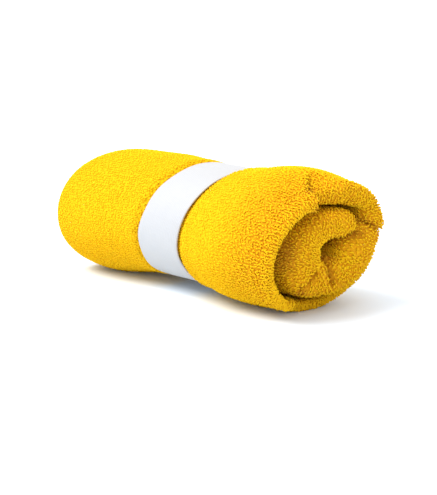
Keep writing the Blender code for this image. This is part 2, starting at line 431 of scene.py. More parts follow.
def mesh_object(
    name: str, points: Array, quads: Array, material: bpy.types.Material
) -> bpy.types.Object:
    """Make an object from points and four-sided faces.

    Args:
        name: The piece's name.
        points: Corners, an array that ends in three coordinates.
        quads: Rows of four corner numbers.
        material: The piece's material.

    Returns:
        The new object, shaded smooth.
    """
    points = np.ascontiguousarray(points.reshape(-1, 3), dtype=np.float32)
    quads = np.ascontiguousarray(quads.reshape(-1, 4), dtype=np.int32)
    mesh = bpy.data.meshes.new(name)
    mesh.vertices.add(len(points))
    mesh.vertices.foreach_set("co", points.ravel())
    mesh.loops.add(quads.size)
    mesh.loops.foreach_set("vertex_index", quads.ravel())
    mesh.polygons.add(len(quads))
    mesh.polygons.foreach_set("loop_start", np.arange(0, quads.size, 4, dtype=np.int32))
    mesh.polygons.foreach_set("use_smooth", np.ones(len(quads), dtype=bool))
    mesh.update(calc_edges=True)
    mesh.materials.append(material)
    piece = bpy.data.objects.new(name, mesh)
    bpy.context.scene.collection.objects.link(piece)
    return piece


def set_uv(piece: bpy.types.Object, name: str, corner_uv: Array) -> None:
    """Give a mesh a UV map from an array of one pair for each corner of its faces."""
    layer = piece.data.uv_layers.new(name=name)
    layer.data.foreach_set("uv", corner_uv.astype(np.float32).ravel())


def set_number(piece: bpy.types.Object, name: str, values: Array) -> None:
    """Store a number for each corner point of a mesh."""
    layer = piece.data.attributes.new(name, "FLOAT", "POINT")
    layer.data.foreach_set("value", values.astype(np.float32).ravel())


def grid_quads(rows: int, columns: int, closed: bool = False) -> Array:
    """Faces of a grid of rows by columns of corners; closed joins its last column to
    its first."""
    last = columns if closed else columns - 1
    i, j = np.meshgrid(np.arange(rows - 1), np.arange(last), indexing="ij")
    k = (j + 1) % columns
    here, there = i * columns, (i + 1) * columns
    return np.stack([here + j, here + k, there + k, there + j], axis=-1).reshape(-1, 4)


def slab_quads(rows: int, columns: int) -> Array:
    """Faces of a closed slab: a front grid, a back grid after it, and four edges."""
    front = grid_quads(rows, columns)
    size = rows * columns
    rim = np.concatenate(
        [
            np.arange(columns),
            np.arange(1, rows) * columns + columns - 1,
            (rows - 1) * columns + np.arange(columns - 2, -1, -1),
            np.arange(rows - 2, 0, -1) * columns,
        ]
    )
    after = np.roll(rim, -1)
    edge = np.stack([rim, rim + size, after + size, after], axis=-1)
    return np.vstack([front, front[:, ::-1] + size, edge])


def outward_quads(points: Array, quads: Array) -> Array:
    """The faces, turned over if the closed mesh has its inside out.

    A closed mesh's volume is the sum of the volumes between its faces and the origin;
    it comes out negative where the faces point inwards.
    """
    a, b, c, d = (points.reshape(-1, 3)[quads[:, k]] for k in range(4))
    volume = np.einsum("ij,ij->", a, np.cross(b, c) + np.cross(c, d))
    return quads if volume > 0 else quads[:, ::-1]


def tube(path: Array, up: Array, radius: float, sides: int = 4) -> tuple[Array, Array]:
    """A round thread along a path, pinched shut at both ends.

    Each ring is path + radius * (cos a * up' + sin a * side), where side is at right
    angles to the path and to up, and up' to both.

    Args:
        path: Points along the thread.
        up: A direction that isn't along the path, for each point.
        radius: Radius of the thread.
        sides: Corners of each ring.

    Returns:
        Corners and faces.
    """
    ahead = unit(np.gradient(path, axis=0))
    side = unit(np.cross(ahead, up))
    rise = np.cross(side, ahead)
    angle = np.arange(sides) * 2 * math.pi / sides
    size = np.full(len(path), radius)
    size[[0, -1]] = radius * PINCH
    cos, sin = np.cos(angle)[:, None], np.sin(angle)[:, None]
    spokes = rise[:, None] * cos + side[:, None] * sin
    points = path[:, None] + spokes * size[:, None, None]
    return points.reshape(-1, 3), grid_quads(len(path), sides, closed=True)


# ---------------------------------------------------------------- the rolled shape


@dataclass(frozen=True)
class BandSize:
    """Sizes of the elastic ring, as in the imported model."""

    width: float = 26 * MM
    thickness: float = 1.2 * MM
    centre_x: float = 1.0 * MM
    half_width: float = 33.2 * MM
    half_height: float = 27.9 * MM
    centre_z: float = 31.1 * MM
    lap_angle: float = 336.0
    lap_span: float = 40.0
    slope: float = 4.0 * MM
    clearance: float = 0.3 * MM


@dataclass(frozen=True)
class Crease:
    """A dent in the near end: from one point of the section to another, across and up
    from the roll's axis, with its depth and half width, all in millimetres, and the
    share of painted shade that darkens the cloth along it, from 0 to 1."""

    start: tuple[float, float]
    end: tuple[float, float]
    depth: float
    width: float
    painted_shade_share: float = 0.0

    def dent(self, flat: Array) -> Array:
        """1 on the crease, falling off as a bell curve of the distance from it."""
        a, b = np.array(self.start) * MM, np.array(self.end) * MM
        t = np.clip(((flat - a) @ (b - a)) / ((b - a) @ (b - a)), 0, 1)
        away = np.linalg.norm(flat - a - t[..., None] * (b - a), axis=-1)
        return np.exp(-((away / (self.width * MM)) ** 2))


@dataclass
class RolledPack:
    """The shape that the folded pack takes when it is rolled up.

    A point of the pack is given by s, its place along the pack's middle line from the
    inner tip outwards; n, its share of the pack's half thickness, positive on the outer
    side; and x, its place along the roll.
    """

    band: BandSize
    length: float = 148 * MM
    half_width: float = 38 * MM
    half_height: float = 32 * MM
    rim_depth: float = 9 * MM
    wrap_rim_share: float = 1.25
    mouth_start: float = 2.6  # rim depths
    mouth_span: float = 2.0
    bulge_start: float = 0.2  # of the length
    # Plateaus of the clock: start, end, and the widths of the steps at them.
    sleeve: tuple = (118, 242, 10, 6)
    crown: tuple = (-13.5, -10, 0.5, 1.5)
    flank: tuple = (-11, -6, 2, 2)
    lip: tuple = (80, 124, 32, 1.5)
    lip_window: tuple = (75, 190, 20, 50)
    sleeve_share: float = 0.60
    core_swell: float = 0.12
    crown_swell: float = 0.2
    flank_shrink: float = 0.34
    lip_step: float = 2.8 * MM
    lip_slant: float = 11.0
    lip_run: float = 14.0
    lip_turn: float = 1.6
    # A strip of painted shade beside the lip: its place in degrees before the lip's
    # end, and its half width.
    shade_strip_offset: float = 4.5
    shade_strip_width: float = 4.2
    wave_height: float = 0.35 * MM
    waves: tuple = (131, 83, 97, 41)  # radians to the metre
    wrap_joint: float = 8 * MM
    turn_gap: float = 0.5 * MM
    # Share of half the length, share of the half width, of the half height, axis in mm.
    profile: tuple = (
        (-1.00, 0.780, 0.780, 28.8), (-0.93, 0.865, 0.865, 28.6),
        (-0.82, 0.930, 0.930, 28.9), (-0.65, 0.950, 0.947, 29.4),
        (-0.44, 0.925, 0.920, 30.6), (-0.26, 0.895, 0.890, 31.4),
        (0.27, 0.925, 0.935, 31.4), (0.45, 1.005, 1.003, 31.7),
        (0.63, 1.035, 1.025, 31.9), (0.81, 1.000, 0.990, 30.9),
        (1.00, 0.975, 0.965, 30.3),
    )
    # Place, and how far the cross planes lean along X to the side and upwards.
    lean: tuple = ((-0.90, 0.182, 0.021), (0.0, 0.142, 0.210), (0.88, 0.133, 0.237))
    # Across, up and half thickness in mm, from the inner tip to the core's root.
    core: tuple = (
        (11.0, 9.7, 5.4), (6.5, 10.7, 6.8), (0.0, 11.3, 7.1), (-8.8, 9.8, 8.4),
        (-15.4, 4.8, 10.6), (-17.0, -3.2, 11.0), (-12.0, -11.4, 10.5),
        (-2.5, -14.2, 9.9), (7.5, -13.8, 10.4), (14.4, -9.8, 11.0), (18.4, -3.0, 10.6),
        (21.8, 4.2, 8.8), (24.2, 11.4, 6.6),
    )
    # Angle in degrees from +Y, half thickness and inset from the oval in mm.
    wrap: tuple = (
        (46, 5.6, 0.0), (68, 6.2, 0.0), (90, 6.3, 0.0), (112, 5.6, 0.0),
        (135, 4.7, 0.0), (158, 4.3, 0.0), (180, 4.2, 0.0), (202, 4.1, 0.0),
        (225, 4.0, 0.0), (247, 3.7, 0.0), (270, 3.3, 0.0), (294, 3.2, 0.0),
        (320, 3.3, 0.0), (338, 3.3, 0.8), (352, 3.2, 1.8),
    )
    # How far the near rim stands out, in mm: core rows count up to 0, then degrees.
    stand_out: tuple = (
        (-13, 1.0), (-10, 2.0), (-8, 3.2), (-5, 2.2),
        (0, 1.0), (46, -4.0), (59, -3.6), (62, -2.6),
        (88, -3.0), (98, -4.2), (108, -6.2), (122.0, -7.0),
        (124.0, 2.6), (180, 1.8), (236, 1.4), (241, 1.0),
        (243.5, -5.5), (270, -6.0), (352, -6.0),
    )
    # Each crease is pushed in by its depth, and its last share is painted shade.
    creases: tuple[Crease, ...] = (
        Crease((-12.0, -21.0), (-14.4, -32.0), 2.0, 1.5, 1.0),
        Crease((-14.0, -17.0), (-9.0, -9.5), 8.0, 1.2, 0.7),
        Crease((-2.0, -4.0), (3.0, -16.0), 6.0, 1.7, 0.6),
        Crease((7.5, 18.0), (8.5, 30.0), 0.8, 1.0),
        Crease((13.0, 13.0), (22.0, 9.0), 4.5, 1.3, 0.5),
        Crease((9.5, 5.0), (15.5, 5.5), 4.0, 1.7, 0.5),
        Crease((0.8, -1.8), (1.2, 2.2), 6.0, 3.0, 1.0),
        Crease((22.0, 9.0), (31.0, 3.0), 2.4, 1.1, 0.5),
        # This crease is painted shade only: it isn't pushed in.
        Crease((-24.0, 8.0), (-25.0, -8.0), 0.0, 2.4, 0.5),
    )
    shift: Array = field(default_factory=lambda: np.zeros(3))
    steps: int = 24

    def __post_init__(self) -> None:
        """Work out the middle line: place, outward direction, half thickness, rim."""
        rows = [(y, z, h, i - len(self.core)) for i, (y, z, h) in enumerate(self.core)]
        for angle, half, inset in self.wrap:
            turn = math.radians(angle)
            across = (self.half_width / MM - half - inset) * math.cos(turn)
            up = (self.half_height / MM - half - inset) * math.sin(turn)
            rows.append((across, up, half, angle))
        line = smooth_curve(np.array(rows, float), self.steps)
        self.centre = line[:, :2] * MM
        ahead = unit(np.gradient(self.centre, axis=0))
        self.ahead = ahead
        self.outward = np.column_stack([ahead[:, 1], -ahead[:, 0]])
        self.half = line[:, 2] * MM - self.turn_gap / 2
        self.clock = line[:, 3]
        step = np.linalg.norm(np.diff(self.centre, axis=0), axis=1)
        self.s = np.concatenate([[0], np.cumsum(step)])
        self.root = float(self.s[(len(self.core) - 1) * self.steps])
        self.end = float(self.s[-1])
        # The near rim is a rounded half, deep on the core, shallow on the outer turn.
        wrap_depth = np.minimum(self.half * self.wrap_rim_share, self.rim_depth)
        share = ease((self.s - self.root) / self.wrap_joint)
        self.depth = self.rim_depth + (wrap_depth - self.rim_depth) * share
        # Near its mouth the left side of the outer turn is thin, and leaves a gap.
        self.thin = 1 - (1 - self.sleeve_share) * plateau(self.clock, *self.sleeve)
        self.swell = self.core_swell * (1 - share)
        left, top = plateau(self.clock, *self.flank), plateau(self.clock, *self.crown)
        self.shrink = self.flank_shrink * left - self.crown_swell * top

    def read(self, s: Array, values: Array) -> Array:
        """A value of the middle line at s."""
        if values.ndim == 1:
            return np.interp(s, self.s, values)
        return np.stack([np.interp(s, self.s, column) for column in values.T], axis=-1)

    def rim_start(self, s: Array) -> Array:
        """Where along X the near rim begins to turn over."""
        return self.length / 2 - self.read(s, self.depth)

    def place(self, side: Array, rise: Array, along: Array) -> Array:
        """A point of the section, from the axis, as a point of the roll.

        The section is scaled by the profile at its place along X, pressed down to the
        inside of the band where the band is, and leant; nothing goes under the floor.
        """
        share = along / (self.length / 2)
        rows = smooth_curve(np.array(self.profile), 8)
        columns = rows[:, 1:].T
        width, height, axis = (np.interp(share, rows[:, 0], c) for c in columns)
        axis = axis * MM
        band = self.band
        inside = band.thickness + band.clearance
        pressed_width = (band.half_width - inside) / self.half_width
        pressed_height = (band.half_height - inside) / self.half_height
        free = ease(self.from_band(along) / band.slope)
        width = np.minimum(pressed_width + (width - pressed_width) * free, width)
        height = np.minimum(pressed_height + (height - pressed_height) * free, height)
        axis = band.centre_z + (axis - band.centre_z) * free
        side, rise = side * width, rise * height
        lean = np.array(self.lean)
        x = along + np.interp(share, lean[:, 0], lean[:, 1]) * side
        x = x + np.interp(share, lean[:, 0], lean[:, 2]) * rise
        points = np.stack([x, side, np.maximum(axis + rise, FLOOR_GAP)], axis=-1)
        return points + self.shift

    def from_band(self, along: Array) -> Array:
        """How far a place along X is from the nearer edge of the band."""
        band = self.band
        return np.abs(along - band.centre_x) - band.width / 2 - band.clearance

    def mouth(self, x: Array) -> Array:
        """1 at the near end's rim, 0 behind it."""
        start = self.length / 2 - self.mouth_start * self.rim_depth
        return ease((x - start) / (self.mouth_span * self.rim_depth))

    def fold_clock(self, s: Array, n: Array, x: Array) -> Array:
        """Degrees round the roll, measured against the fold on top of the near end.

        The outer turn overlaps itself there, and the fold slants towards +Y from the
        inner face to the outer one and back along the roll, so angles near it grow by
        as much as it has moved.
        """
        clock = self.read(s, self.clock)
        window = plateau(clock, *self.lip_window)
        behind = np.clip((self.length / 2 - self.rim_depth - x) / MM, 0, self.lip_run)
        return clock + window * (self.lip_slant * (1 + n) / 2 + self.lip_turn * behind)

    def section(self, s: Array, n: Array, x: Array) -> Array:
        """A point of the pack on the section across the roll, before it is scaled.

        It lies n half thicknesses out from the middle line. A slow wave, of crossed
        sines 50 to 150 mm long, keeps the roll from looking turned on a lathe.
        """
        s, n, x = np.broadcast_arrays(s, n, x)
        past = np.minimum(s, 0)[..., None]
        centre = self.read(s, self.centre) + past * self.read(s, self.ahead)
        half = self.read(s, self.half)
        a, b, c, d = self.waves
        wave = np.sin(s * a + 1.3 * np.sin(x * b)) * np.sin(x * c + s * d + 0.7)
        wave = self.wave_height * wave
        mouth = self.mouth(x)
        thin = 1 - (1 - self.read(s, self.thin)) * mouth
        swell = 1 + self.read(s, self.swell) * mouth * (n < 0)
        swell = swell - self.read(s, self.shrink) * mouth * (n > 0)
        offset = half * (1 - (1 - n) * thin) * swell
        offset = offset + wave * np.abs(n)
        under = plateau(self.fold_clock(s, n, x), *self.lip)
        offset = offset - self.lip_step * under * mouth * np.maximum(n, 0)
        return centre + unit(self.read(s, self.outward)) * offset[..., None]

    def painted_crease_shade(self, s: Array, n: Array, x: Array) -> Array:
        """How far the cloth is darkened with painted shade, from 0 to 1: along the
        creases, and in a strip beside the fold on top of the near end, only at the
        mouth.
        """
        s, n, x = np.broadcast_arrays(s, n, x)
        flat = self.section(s, n, x)
        painted_shade_share = [crease.painted_shade_share * crease.dent(flat) for crease in self.creases]
        # Painted shade in a strip beside the lip.
        beside = self.fold_clock(s, n, x) - (self.lip[1] - self.shade_strip_offset)
        painted_shade_share.append(np.exp(-((beside / self.shade_strip_width) ** 2)))
        return np.max(painted_shade_share, axis=0) * self.mouth(x)

    def point(self, s: Array, n: Array, x: Array) -> Array:
        """A point of the pack as a point of the roll.

        The near end leaves its even length by the rim's stand-out, eased in along the
        near bulge, and is pushed in along its creases.
        """
        s, n, x = np.broadcast_arrays(s, n, x)
        flat = self.section(s, n, x)
        mouth = self.mouth(x)
        start = self.length * self.bulge_start
        near = (x - start) / (self.length / 2 - self.rim_depth - start)
        stand = np.array(self.stand_out, float)
        rim = np.interp(self.fold_clock(s, n, x), stand[:, 0], stand[:, 1]) * MM
        x = x + rim * np.clip(near, 0, 1)
        for crease in self.creases:
            x = x - crease.depth * MM * crease.dent(flat) * mouth
        return self.place(flat[..., 0], flat[..., 1], x)


@dataclass
class FoldedSheet:
    """The towel as one sheet, given by u and t and its two faces.

    u runs along the sheet's 500 mm: once round the outer turn, along the core's outer
    layer to the tip, back along its middle layer and again along its inner layer. t
    runs across its 300 mm, from one long side, over the fold at the near end, where it
    is 0, to the other long side. w is 1 on the face that is outside in the outer turn
    and -1 on the other face.
    """

    pack: RolledPack
    width: float = 300 * MM
    rim_arc: float = 18 * MM
    rim_power: float = 2.9
    pile: float = 1.25 * MM
    pressed_pile: float = 0.4
    calm_pile: float = 0.56
    loose_start: float = 34 * MM
    loose_span: float = 30 * MM
    ply_gap: float = 0.05
    hem_inset: float = 0.5 * MM
    joint: float = 7 * MM
    root_gap: float = 6 * MM
    tip_gap: float = 2 * MM
    steps: int = 700
    turn_steps: int = 11

    def __post_init__(self) -> None:
        """Lay the path of the sheet through the pack and measure it.

        A straight run lies at the share m of the pack's half thickness and reaches h to
        either side of it. A turn is a half circle of radius 1/6 about the line between
        two of the core's layers.
        """
        pack = self.pack
        root_stop, back_end = pack.root - self.root_gap, self.tip_gap
        outer = np.linspace(pack.end, 0, self.steps)
        core = ease((pack.root + self.joint / 2 - outer) / self.joint)
        angle = np.linspace(0, math.pi, self.turn_steps + 2)[1:-1]
        middle = np.linspace(0, root_stop, self.steps // 3)
        inner = np.linspace(root_stop, back_end, self.steps // 3)
        third = 1 / 3
        faces = []
        for w in (-1, 1):
            reach = w * (1 - self.ply_gap)
            turned = []
            for way, s, m in ((1, 0.0, 2 * third), (-1, root_stop, third)):
                radius = third / 2 * (1 + way * reach)
                half = pack.read(np.array(s), pack.half)
                past = way * radius * half * np.sin(angle)
                turned.append((s - past, m + radius * np.cos(angle)))
            runs = [
                (outer, 0.5 + core * third + reach * (0.5 - core * third)),
                turned[0],
                (middle, np.full_like(middle, 0.5 - reach * third / 2)),
                turned[1],
                (inner, np.full_like(inner, third / 2 * (1 + reach))),
            ]
            faces.append(np.hstack([np.stack(run) for run in runs]))
        self.back, self.front = faces
        middle_s, middle_n = (self.back + self.front) / 2
        offset = middle_n * pack.read(middle_s, pack.half)
        outward = pack.read(middle_s, pack.outward)
        flat = pack.read(middle_s, pack.centre) + outward * offset[:, None]
        step = np.linalg.norm(np.diff(flat, axis=0), axis=1)
        step += np.abs(np.diff(np.minimum(middle_s, 0)))
        self.u = np.concatenate([[0], np.cumsum(step)])
        self.end = float(self.u[-1])
        self.root_u = float(np.interp(0.5, core, self.u[: self.steps]))
        self.tip_u = float(self.u[self.steps - 1])
        self.turned_u = float(self.u[self.steps + self.turn_steps])

    def surface(self, u: Array, t: Array, w: Array) -> Array:
        """A point of the sheet."""
        return self.pack.point(*self.in_pack(u, t, w))

    def painted_crease_shade(self, u: Array, t: Array, w: Array) -> Array:
        """How far the cloth is darkened with painted shade in the creases, from 0 to 1.
        """
        return self.pack.painted_crease_shade(*self.in_pack(u, t, w))

    def in_pack(self, u: Array, t: Array, w: Array) -> tuple[Array, Array, Array]:
        """A point of the sheet as s, n and x of the pack.

        The rim's section is a rounded half square, |n|^q + |reach|^q = 1, flatter than
        a half circle, and inner layers nest in outer ones.
        """
        u, t, w = np.broadcast_arrays(u, t, w)
        share = (w + 1) / 2
        back = [np.interp(u, self.u, row) for row in self.back]
        front = [np.interp(u, self.u, row) for row in self.front]
        s, n = (b * (1 - share) + f * share for b, f in zip(back, front))
        arc = self.rim_arc / 2
        angle = np.clip(t / arc, -1, 1) * math.pi / 2
        back_share = np.maximum(np.abs(t) - arc, 0) / (self.width / 2 - arc)
        start = self.pack.rim_start(s)
        far = -self.pack.length / 2 + self.hem_inset
        depth = self.pack.read(s, self.pack.depth)
        sine, cosine = np.sin(angle), np.cos(angle)
        q = self.rim_power
        bulge = n / (np.abs(sine) ** q + np.maximum(cosine, 0) ** q) ** (1 / q)
        x = start + (far - start) * back_share + depth * bulge * cosine
        return s, bulge * sine, x

    def straight_run(self) -> tuple[float, float, float, float]:
        """The t and the place along the roll where the sheet leaves the rim, and where
        it ends."""
        start = self.pack.length / 2 - self.pack.rim_depth
        far = -self.pack.length / 2 + self.hem_inset
        return self.rim_arc / 2, start, self.width / 2, far

    def along(self, u: Array, t: Array) -> Array:
        """Place along the roll of a point of the sheet, before the lean."""
        arc, start, side, far = self.straight_run()
        back_share = np.maximum(np.abs(t) - arc, 0) / (side - arc)
        return np.broadcast_arrays(start + (far - start) * back_share, u)[0]

    def across(self, x: Array) -> Array:
        """The t, on the outer side, at a place along the roll: along() turned round."""
        arc, start, side, far = self.straight_run()
        return arc + (start - x) / (start - far) * (side - arc)

    def pile_height(self, u: Array, t: Array) -> Array:
        """Height of the pile: pressed flat under the band, and loose at the mouth."""
        free = ease(self.pack.from_band(self.along(u, t)) / self.pack.band.slope)
        calm = self.calm_pile + (1 - self.calm_pile) * self.looseness(u, t)
        return self.pile * (self.pressed_pile + (calm - self.pressed_pile) * free)

    def looseness(self, u: Array, t: Array) -> Array:
        """1 round the mouth of the roll, 0 from its middle to the far end."""
        return ease((self.along(u, t) - self.loose_start) / self.loose_span)

    def ply(self, u: Array) -> Array:
        """Thickness of the sheet where it isn't pressed."""
        (s_back, n_back), (s_front, n_front) = (
            (np.interp(u, self.u, face[0]), np.interp(u, self.u, face[1]))
            for face in (self.back, self.front)
        )
        half = self.pack.read(s_front, self.pack.half)
        return np.hypot((n_front - n_back) * half, s_front - s_back)

    def level(self, u: Array, t: Array, height: Array) -> Array:
        """The w that lies a height above the foot of the pile on face 1."""
        return 1 - 2 * (self.pile_height(u, t) - height) / self.ply(u)

    def normal(self, u: Array, t: Array, w: Array) -> tuple[Array, Array]:
        """Outward normal on face 1 and the direction of growing t, both unit."""
        small, inwards = 0.3 * MM, 0.3
        by_u = self.surface(u + small, t, w) - self.surface(u - small, t, w)
        by_t = self.surface(u, t + small, w) - self.surface(u, t - small, w)
        out = self.surface(u, t, w) - self.surface(u, t, w - inwards)
        normal = unit(np.cross(by_u, by_t))
        facing = np.sign(np.einsum("...i,...i->...", normal, out))
        return normal * facing[..., None], unit(by_t)


@dataclass
class Towel:
    """The cloth: its knitted ground as a closed sheet, and its pile of yarn loops."""

    sheet: FoldedSheet
    ground: TerryGround = TerryGround()
    yarn: TerryYarn = TerryYarn()
    loop_pitch: float = 1.35 * MM
    row_pitch: float = 1.4 * MM
    loop_width: float = 1.15 * MM
    least_crown: float = 0.15 * MM
    yarn_radius: float = 0.33 * MM
    pressed_yarn: float = 0.7
    calm_yarn: float = 1.2
    loop_rings: int = 5
    loop_sides: int = 4
    arch_start: float = -0.15
    arch_turn: float = 1.3
    mouth_depth: float = 17 * MM
    bare_side: float = 40 * MM
    bare_hem: float = 2.6 * MM
    tight: float = 0.3
    # Share of the painted root shade, and of each loop's random tone, kept where the
    # pile is calm.
    calm_depth: float = 0.2
    place_spread: float = 0.32
    turn_spread: float = 0.55
    lean_spread: float = 0.28
    height_spread: float = 0.2
    width_spread: tuple[float, float] = (0.8, 1.2)
    radius_spread: tuple[float, float] = (0.88, 1.15)
    shade_spread: float = 0.12
    rows: tuple[int, ...] = (130, 90, 70)
    columns: tuple[int, ...] = (9, 13, 7, 9, 5, 9, 18)
    seed: int = 5

    def build(self) -> list[bpy.types.Object]:
        """Build the ground and the pile, and return them with the ground first."""
        yarn = self.yarn.material()
        pieces = [self.build_ground()]
        sheet, hem = self.sheet, self.bare_hem
        half_width, arc = sheet.width / 2, sheet.rim_arc / 2
        rim, deep = arc + 1 * MM, arc + self.mouth_depth
        strips = {
            "far": ((half_width + arc) / 2, half_width - hem),
            "near": (rim, (half_width + arc) / 2),
            "rim": (-deep, rim),
        }
        middle_u = (hem + sheet.root_u) / 2
        for strip, across in strips.items():
            stop = sheet.root_u + (0 if strip == "rim" else self.bare_side)
            for part, span in (("a", (hem, middle_u)), ("b", (middle_u, stop))):
                name = f"pile_{strip}_{part}"
                pieces.append(self.build_pile(name, span, across, yarn))
        span = (sheet.root_u, sheet.turned_u)
        pieces.append(self.build_pile("pile_core", span, (-deep, deep), yarn))
        return pieces

    def build_ground(self) -> bpy.types.Object:
        """Build the sheet itself.

        Its front grid lies at the foot of the pile and its back grid on face -1. Rows
        are set closer in the near end, where the creases are, and beside the band.
        """
        sheet = self.sheet
        stops = (0, sheet.root_u, sheet.turned_u, sheet.end)
        u = self.spaced(stops, self.rows)[:-1]
        u[-self.rows[-1] :] = np.linspace(sheet.turned_u, sheet.end, self.rows[-1])
        band = sheet.pack.band
        edges = band.centre_x + np.array([1, 1, -1, -1]) * band.width / 2
        edges = edges + np.array([6, -2, 2, -6]) * MM
        arc = sheet.rim_arc / 2
        stops = (0, arc, arc + self.mouth_depth, *sheet.across(edges), sheet.width / 2)
        side = self.spaced(stops, self.columns)
        t = np.concatenate([-side[:0:-1], side])
        grid_u, grid_t = np.meshgrid(u, t, indexing="ij")
        front = sheet.surface(grid_u, grid_t, sheet.level(grid_u, grid_t, 0.1 * MM))
        back = sheet.surface(grid_u, grid_t, -np.ones_like(grid_u))
        points = np.concatenate([front.reshape(-1, 3), back.reshape(-1, 3)])
        quads = outward_quads(points, slab_quads(len(u), len(t)))
        cloth = mesh_object("towel_sheet", points, quads, self.ground.material())
        # Painted shade along the creases, for the ground's colour.
        painted_crease_shade = sheet.painted_crease_shade(grid_u, grid_t, np.ones_like(grid_u)).ravel()
        set_number(cloth, "painted_crease_shade", np.concatenate([painted_crease_shade, painted_crease_shade]))
        return cloth

    @staticmethod
    def spaced(stops: tuple[float, ...], counts: tuple[int, ...]) -> Array:
        """Even steps from stop to stop, a count of them to each span, and the last
        stop."""
        spans = zip(stops, stops[1:], counts)
        parts = [np.linspace(*span, endpoint=False) for span in spans]
        return np.concatenate([*parts, [stops[-1]]])

    def build_pile(
        self,
        name: str,
        span_u: tuple[float, float],
        span_t: tuple[float, float],
        material: bpy.types.Material,
    ) -> bpy.types.Object:
        """Build the yarn loops of one part of face 1.

        Args:
            name: The piece's name.
            span_u: Start and end of the area along the sheet.
            span_t: Start and end of the area across the sheet.
            material: The yarn.

        Returns:
            The piece.
        """
        rng = np.random.default_rng(self.seed)
        u, t = self.scatter(rng, span_u, span_t)
        mouth = self.sheet.looseness(u, t)
        points = self.arches(rng, u, t, mouth)
        faces, cell = self.loop_quads(), self.loop_uv()
        first = points[0].reshape(-1, 3)
        if outward_quads(first - first.mean(axis=0), faces)[0, 0] != faces[0, 0]:
            faces, cell = faces[:, ::-1], cell[:, ::-1]
        starts = np.arange(len(u)) * self.loop_rings * self.loop_sides
        piece = mesh_object(name, points, faces + starts[:, None, None], material)
        set_uv(piece, "OFBake", self.in_cells(cell, len(u)))
        # Painted shade at the roots: the colour follows the arch's sine, flattened
        # where the pile is calm, plus a random tone for each loop.
        depth = self.calm_depth + (1 - self.calm_depth) * mouth[:, None, None]
        rise = np.clip(np.sin(self.arch_angle()), 0, 1)[None, :, None]
        rise = 1 - (1 - rise) * depth
        shade = rng.uniform(-self.shade_spread, self.shade_spread, len(u))
        every = np.ones(points.shape[:3])
        set_number(piece, "loop_height", (rise + shade[:, None, None] * depth) * every)
        # Painted shade along the creases, for the yarn's colour.
        painted_crease_shade = self.sheet.painted_crease_shade(u, t, np.ones_like(u))
        set_number(piece, "painted_crease_shade", painted_crease_shade[:, None, None] * every)
        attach(piece, "roll")
        return piece

    def scatter(
        self,
        rng: np.random.Generator,
        span_u: tuple[float, float],
        span_t: tuple[float, float],
    ) -> tuple[Array, Array]:
        """Set out the loops in staggered rows, each moved a little from its place.

        Args:
            rng: The source of the random shares.
            span_u: Start and end of the area along the sheet.
            span_t: Start and end of the area across the sheet.

        Returns:
            The u and the t of every loop.
        """
        long, wide = span_u[1] - span_u[0], span_t[1] - span_t[0]
        count_u, count_t = round(long / self.row_pitch), round(wide / self.loop_pitch)
        i, j = np.meshgrid(np.arange(count_u), np.arange(count_t), indexing="ij")
        spread = self.place_spread
        moved = rng.uniform(-spread, spread, (2, count_u, count_t))
        u = span_u[0] + (i + 0.5 + moved[0]) * long / count_u
        t = span_t[0] + (j + 0.5 * (i % 2) + 0.25 + moved[1]) * wide / count_t
        return u.ravel(), t.ravel()

    def arch_angle(self) -> Array:
        """The angle of each ring of a loop: a little over half a turn in all, so that
        both feet stand in the ground."""
        share = np.arange(self.loop_rings) / (self.loop_rings - 1)
        return (share * self.arch_turn + self.arch_start) * math.pi

    def arches(
        self, rng: np.random.Generator, u: Array, t: Array, mouth: Array
    ) -> Array:
        """Shape the loops.

        Each loop's middle line is an arch: width / 2 * cos a along the row and
        height * sin a away from the sheet. The loops are turned and leant a little,
        each by its own amount, and their yarn has its own thickness.

        Args:
            rng: The source of the random shares.
            u: Place of each loop along the sheet.
            t: Place of each loop across the sheet.
            mouth: 1 for the loose loops round the mouth of the roll, 0 elsewhere.

        Returns:
            The corners, by loop, ring and side.
        """
        sheet, size = self.sheet, len(u)
        level = sheet.level(u, t, 0)
        foot = sheet.surface(u, t, level)
        normal, row = sheet.normal(u, t, level)
        loose = self.tight + (1 - self.tight) * mouth
        turn = rng.normal(0.0, self.turn_spread, size)
        across = np.cross(normal, row)
        along = row * np.cos(turn)[:, None] + across * np.sin(turn)[:, None]
        lean = rng.normal(0.0, self.lean_spread, (size, 2)) * loose[:, None]
        up = unit(normal + row * lean[:, :1] + across * lean[:, 1:])
        full = sheet.pile_height(u, t)
        spread = self.height_spread
        height = full * (1 + rng.uniform(-spread, spread, size) * loose)
        half_width = self.loop_width / 2 * rng.uniform(*self.width_spread, size)
        radius = self.yarn_radius * rng.uniform(*self.radius_spread, size)
        calm = self.calm_yarn + (1 - self.calm_yarn) * mouth
        radius = radius * np.where(full < sheet.pile / 2, self.pressed_yarn, calm)
        crown = np.maximum(height - radius, self.least_crown)
        angle = self.arch_angle()[None, :, None]
        cos, sin = np.cos(angle), np.sin(angle)
        half_width, crown = half_width[:, None, None], crown[:, None, None]
        along, up = along[:, None], up[:, None]
        line = foot[:, None] + along * half_width * cos + up * crown * sin
        spoke_out = unit(along * cos * crown + up * sin * half_width)[:, :, None]
        spoke_side = unit(np.cross(along, up))[:, :, None]
        around = np.arange(self.loop_sides) * 2 * math.pi / self.loop_sides
        around = around[None, None, :, None]
        spokes = spoke_out * np.cos(around) + spoke_side * np.sin(around)
        points = line[:, :, None] + spokes * radius[:, None, None, None]
        points[..., 2] = np.maximum(points[..., 2], FLOOR_GAP)
        return points

    def loop_quads(self) -> Array:
        """Faces of one loop: its tube, and a cap in each foot."""
        body = grid_quads(self.loop_rings, self.loop_sides, closed=True)
        cap = np.arange(self.loop_sides)
        last = cap + (self.loop_rings - 1) * self.loop_sides
        return np.vstack([body, cap[::-1], last])

